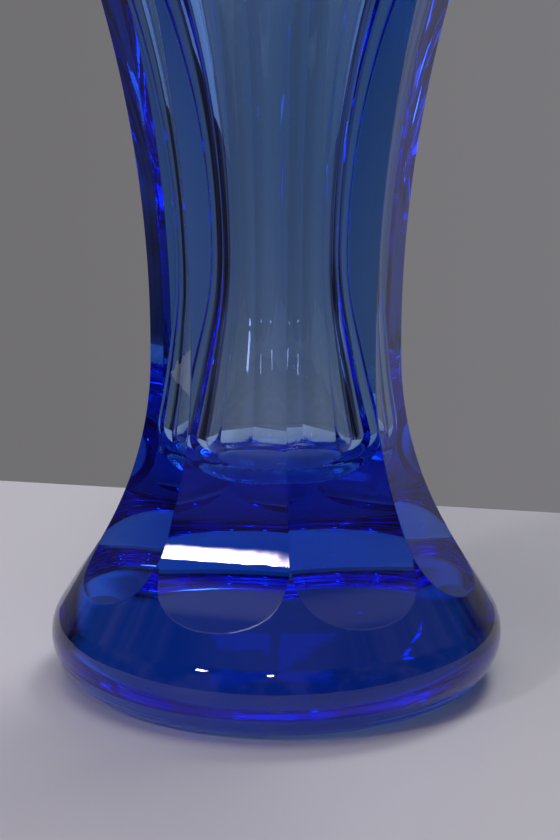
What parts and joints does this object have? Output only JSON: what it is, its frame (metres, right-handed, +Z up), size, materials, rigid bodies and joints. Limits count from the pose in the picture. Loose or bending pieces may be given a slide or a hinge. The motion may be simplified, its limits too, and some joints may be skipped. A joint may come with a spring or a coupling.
{
  "type": "vase",
  "caption": "Heavy blue crystal vase with a solid round foot, drawn-in waist, flat-cut panels that end in scallops, a flaring mouth and a round bowl.",
  "frame": {"origin": "centre of the flat base, on the surface the vase stands on", "axes": "+Z up along the vase's axis, -Y towards a ridge between two panels"},
  "size_m": [0.1356, 0.1356, 0.24],
  "materials": {
    "blue_crystal": "clear transparent blue crystal, wheel-cut and polished to a high gloss"
  },
  "bodies": {
    "root": {"vase_body": "blue_crystal"}
  },
  "joints": []
}
